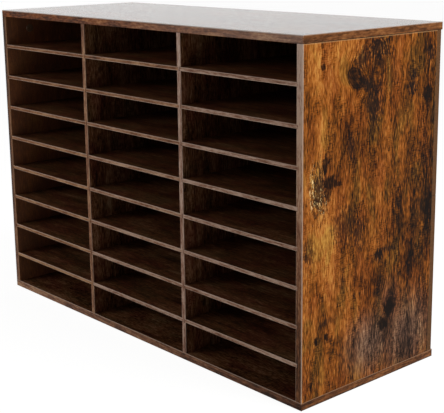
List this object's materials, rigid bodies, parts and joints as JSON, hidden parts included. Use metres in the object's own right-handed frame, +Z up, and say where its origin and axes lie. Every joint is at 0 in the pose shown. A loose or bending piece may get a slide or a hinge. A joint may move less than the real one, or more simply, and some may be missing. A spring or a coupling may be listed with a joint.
{
  "type": "literature organizer",
  "caption": "Open-fronted literature organizer: a wide case of brown wood-print boards, with columns of flat compartments and loose shelves that slide out of grooves.",
  "frame": {"origin": "middle of the underside, on the surface that the organizer stands on", "axes": "+X to the right along the width, +Y to the rear along the depth, +Z up; the open front faces -Y"},
  "size_m": [0.787, 0.305, 0.543],
  "materials": {
    "board": "satin melamine with a rustic brown wood print on particle board",
    "back_board": "satin melamine with a rustic brown wood print on fibreboard",
    "edge_band": "satin wood-print edge band",
    "shelf": "satin wood-print foil on thin fibreboard",
    "fittings": "zinc plated and zinc die-cast",
    "cap": "moulded brown cap",
    "dowel": "plain beech"
  },
  "bodies": {
    "case": {"top_panel": "board", "bottom_panel": "board", "left_side": "board", "right_side": "board", "left_divider": "board", "right_divider": "board", "upper_back_board": "back_board", "lower_back_board": "back_board", "top_front_band": "edge_band", "top_left_band": "edge_band", "top_right_band": "edge_band", "bottom_front_band": "edge_band", "bottom_left_band": "edge_band", "bottom_right_band": "edge_band", "left_side_band": "edge_band", "left_divider_band": "edge_band", "right_divider_band": "edge_band", "right_side_band": "edge_band", "cam_bolts": "fittings", "cam_locks": "fittings", "bottom_screws": "fittings", "back_screws": "fittings", "cam_caps": "cap", "dowels": "dowel"},
    "left_shelf_1": {"left_shelf_1": "shelf"},
    "left_shelf_2": {"left_shelf_2": "shelf"},
    "left_shelf_3": {"left_shelf_3": "shelf"},
    "left_shelf_4": {"left_shelf_4": "shelf"},
    "left_shelf_5": {"left_shelf_5": "shelf"},
    "left_shelf_6": {"left_shelf_6": "shelf"},
    "left_shelf_7": {"left_shelf_7": "shelf"},
    "left_shelf_8": {"left_shelf_8": "shelf"},
    "middle_shelf_1": {"middle_shelf_1": "shelf"},
    "middle_shelf_2": {"middle_shelf_2": "shelf"},
    "middle_shelf_3": {"middle_shelf_3": "shelf"},
    "middle_shelf_4": {"middle_shelf_4": "shelf"},
    "middle_shelf_5": {"middle_shelf_5": "shelf"},
    "middle_shelf_6": {"middle_shelf_6": "shelf"},
    "middle_shelf_7": {"middle_shelf_7": "shelf"},
    "middle_shelf_8": {"middle_shelf_8": "shelf"},
    "right_shelf_1": {"right_shelf_1": "shelf"},
    "right_shelf_2": {"right_shelf_2": "shelf"},
    "right_shelf_3": {"right_shelf_3": "shelf"},
    "right_shelf_4": {"right_shelf_4": "shelf"},
    "right_shelf_5": {"right_shelf_5": "shelf"},
    "right_shelf_6": {"right_shelf_6": "shelf"},
    "right_shelf_7": {"right_shelf_7": "shelf"},
    "right_shelf_8": {"right_shelf_8": "shelf"}
  },
  "joints": [
    {"name": "left_shelf_1_slide", "type": "slide", "parent": "case", "child": "left_shelf_1", "axis": [0, -1, 0], "range_m": [0, 0.3]},
    {"name": "left_shelf_2_slide", "type": "slide", "parent": "case", "child": "left_shelf_2", "axis": [0, -1, 0], "range_m": [0, 0.3]},
    {"name": "left_shelf_3_slide", "type": "slide", "parent": "case", "child": "left_shelf_3", "axis": [0, -1, 0], "range_m": [0, 0.3]},
    {"name": "left_shelf_4_slide", "type": "slide", "parent": "case", "child": "left_shelf_4", "axis": [0, -1, 0], "range_m": [0, 0.3]},
    {"name": "left_shelf_5_slide", "type": "slide", "parent": "case", "child": "left_shelf_5", "axis": [0, -1, 0], "range_m": [0, 0.3]},
    {"name": "left_shelf_6_slide", "type": "slide", "parent": "case", "child": "left_shelf_6", "axis": [0, -1, 0], "range_m": [0, 0.3]},
    {"name": "left_shelf_7_slide", "type": "slide", "parent": "case", "child": "left_shelf_7", "axis": [0, -1, 0], "range_m": [0, 0.3]},
    {"name": "left_shelf_8_slide", "type": "slide", "parent": "case", "child": "left_shelf_8", "axis": [0, -1, 0], "range_m": [0, 0.3]},
    {"name": "middle_shelf_1_slide", "type": "slide", "parent": "case", "child": "middle_shelf_1", "axis": [0, -1, 0], "range_m": [0, 0.3]},
    {"name": "middle_shelf_2_slide", "type": "slide", "parent": "case", "child": "middle_shelf_2", "axis": [0, -1, 0], "range_m": [0, 0.3]},
    {"name": "middle_shelf_3_slide", "type": "slide", "parent": "case", "child": "middle_shelf_3", "axis": [0, -1, 0], "range_m": [0, 0.3]},
    {"name": "middle_shelf_4_slide", "type": "slide", "parent": "case", "child": "middle_shelf_4", "axis": [0, -1, 0], "range_m": [0, 0.3]},
    {"name": "middle_shelf_5_slide", "type": "slide", "parent": "case", "child": "middle_shelf_5", "axis": [0, -1, 0], "range_m": [0, 0.3]},
    {"name": "middle_shelf_6_slide", "type": "slide", "parent": "case", "child": "middle_shelf_6", "axis": [0, -1, 0], "range_m": [0, 0.3]},
    {"name": "middle_shelf_7_slide", "type": "slide", "parent": "case", "child": "middle_shelf_7", "axis": [0, -1, 0], "range_m": [0, 0.3]},
    {"name": "middle_shelf_8_slide", "type": "slide", "parent": "case", "child": "middle_shelf_8", "axis": [0, -1, 0], "range_m": [0, 0.3]},
    {"name": "right_shelf_1_slide", "type": "slide", "parent": "case", "child": "right_shelf_1", "axis": [0, -1, 0], "range_m": [0, 0.3]},
    {"name": "right_shelf_2_slide", "type": "slide", "parent": "case", "child": "right_shelf_2", "axis": [0, -1, 0], "range_m": [0, 0.3]},
    {"name": "right_shelf_3_slide", "type": "slide", "parent": "case", "child": "right_shelf_3", "axis": [0, -1, 0], "range_m": [0, 0.3]},
    {"name": "right_shelf_4_slide", "type": "slide", "parent": "case", "child": "right_shelf_4", "axis": [0, -1, 0], "range_m": [0, 0.3]},
    {"name": "right_shelf_5_slide", "type": "slide", "parent": "case", "child": "right_shelf_5", "axis": [0, -1, 0], "range_m": [0, 0.3]},
    {"name": "right_shelf_6_slide", "type": "slide", "parent": "case", "child": "right_shelf_6", "axis": [0, -1, 0], "range_m": [0, 0.3]},
    {"name": "right_shelf_7_slide", "type": "slide", "parent": "case", "child": "right_shelf_7", "axis": [0, -1, 0], "range_m": [0, 0.3]},
    {"name": "right_shelf_8_slide", "type": "slide", "parent": "case", "child": "right_shelf_8", "axis": [0, -1, 0], "range_m": [0, 0.3]}
  ]
}
